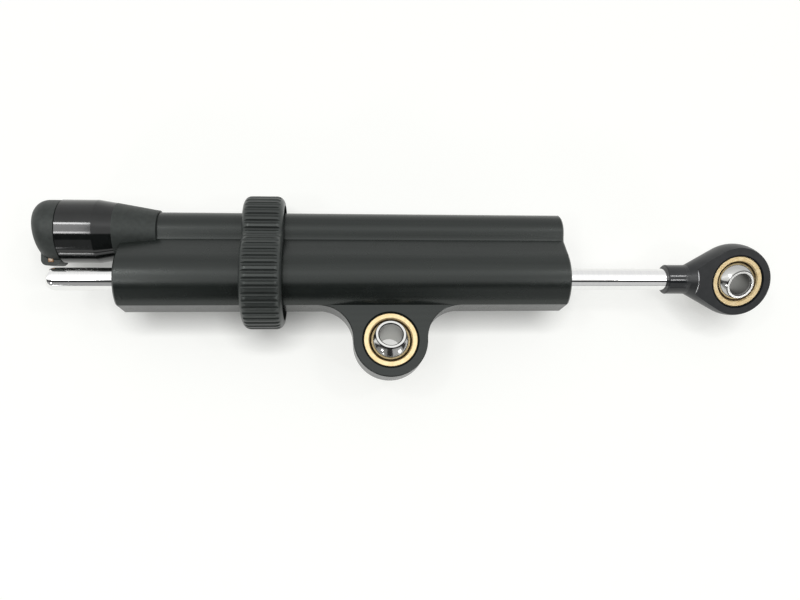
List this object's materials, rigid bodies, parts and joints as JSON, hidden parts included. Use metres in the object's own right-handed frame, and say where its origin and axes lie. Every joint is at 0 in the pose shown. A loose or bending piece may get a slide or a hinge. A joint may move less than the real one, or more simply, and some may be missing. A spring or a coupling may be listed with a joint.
{
  "type": "motorcycle steering damper",
  "caption": "Through-rod steering damper: black two-lobed body with a lug bearing, ribbed rubber band, electric valve on one end and a rod end with a spherical bearing.",
  "frame": {"origin": "centre of the spherical bearing in the body's lug", "axes": "+X along the piston rod towards the rod end, +Y from the lug towards the rod and the valve tube, +Z along the lug's bolt hole, out of the face that is seen"},
  "size_m": [0.2653, 0.0663, 0.0354],
  "materials": {
    "black_anodised": "satin black anodised",
    "plain_aluminium": "machined",
    "bronze": "sintered bronze",
    "seal_rubber": "smooth nitrile rubber",
    "spring_steel": "oiled spring steel",
    "hard_chrome": "ground and hard chromed",
    "slide_plastic": "filled sliding plastic",
    "gold_race": "gold zinc plated",
    "bearing_steel": "polished bearing steel",
    "band_rubber": "moulded rubber, slightly shiny",
    "gloss_black": "gloss black",
    "black_plastic": "matt moulded plastic",
    "copper_wire": "enamelled copper wire",
    "tinned_pins": "tin plated",
    "amber_plastic": "moulded plastic",
    "valve_steel": "ground steel"
  },
  "bodies": {
    "body": {"housing": "black_anodised", "left_gland": "plain_aluminium", "right_gland": "plain_aluminium", "left_bush": "bronze", "right_bush": "bronze", "left_wiper": "seal_rubber", "right_wiper": "seal_rubber", "left_rod_seal": "seal_rubber", "right_rod_seal": "seal_rubber", "left_gland_ring": "seal_rubber", "right_gland_ring": "seal_rubber", "left_circlip": "spring_steel", "right_circlip": "spring_steel", "lug_race": "gold_race", "bumper_band": "band_rubber", "solenoid_housing": "gloss_black", "coil_bobbin": "black_plastic", "coil_winding": "copper_wire", "connector_cap": "black_plastic", "terminal_pins": "tinned_pins", "connector_lock": "amber_plastic", "tube_hood": "black_plastic", "valve_cartridge": "valve_steel", "valve_rings": "seal_rubber", "spring_seat": "valve_steel", "valve_spring": "spring_steel", "tube_plug": "black_anodised", "plug_ring": "seal_rubber"},
    "piston_seal": {"piston_band": "slide_plastic", "piston_ring": "seal_rubber"},
    "rod": {"piston_rod": "hard_chrome", "piston": "plain_aluminium", "piston_clips": "spring_steel", "rod_end": "black_anodised", "rod_end_race": "gold_race"},
    "rod_end_turner": {"rod_end_liner": "slide_plastic"},
    "rod_end_swivel": {"rod_end_ball": "bearing_steel"},
    "lug_turner": {"lug_liner": "slide_plastic"},
    "lug_swivel": {"lug_ball": "bearing_steel"},
    "spool": {"valve_spool": "valve_steel", "valve_plunger": "valve_steel"},
    "oil_expander": {"floating_piston": "plain_aluminium", "floating_piston_ring": "seal_rubber"}
  },
  "joints": [
    {"name": "rod_slide", "type": "slide", "parent": "body", "child": "piston_seal", "axis": [1, 0, 0], "range_m": [-0.0379, 0.0251]},
    {"name": "rod_spin", "type": "hinge", "parent": "piston_seal", "child": "rod", "pos_m": [0, 0.023, 0], "axis": [1, 0, 0], "continuous": true},
    {"name": "rod_end_turn", "type": "hinge", "parent": "rod", "child": "rod_end_turner", "pos_m": [0.12865, 0.023, 0], "axis": [0, -0.4462, 0.8949], "continuous": true},
    {"name": "rod_end_tilt", "type": "hinge", "parent": "rod_end_turner", "child": "rod_end_swivel", "pos_m": [0.12865, 0.023, 0], "axis": [0.891, 0.4063, 0.2026], "range_deg": [-24.8, 3.2]},
    {"name": "lug_turn", "type": "hinge", "parent": "body", "child": "lug_turner", "pos_m": [0, 0, 0], "axis": [0, 0, 1], "continuous": true},
    {"name": "lug_tilt", "type": "hinge", "parent": "lug_turner", "child": "lug_swivel", "pos_m": [0, 0, 0], "axis": [-1, 0, 0], "range_deg": [-32, 0]},
    {"name": "spool_travel", "type": "slide", "parent": "body", "child": "spool", "axis": [1, 0, 0], "range_m": [0, 0.0015], "stiffness_N_per_m": 600, "springref_m": -0.001, "deforming": ["valve_spring"]},
    {"name": "oil_expansion", "type": "slide", "parent": "body", "child": "oil_expander", "axis": [1, 0, 0], "range_m": [-0.003, 0.006], "stiffness_N_per_m": 300}
  ]
}
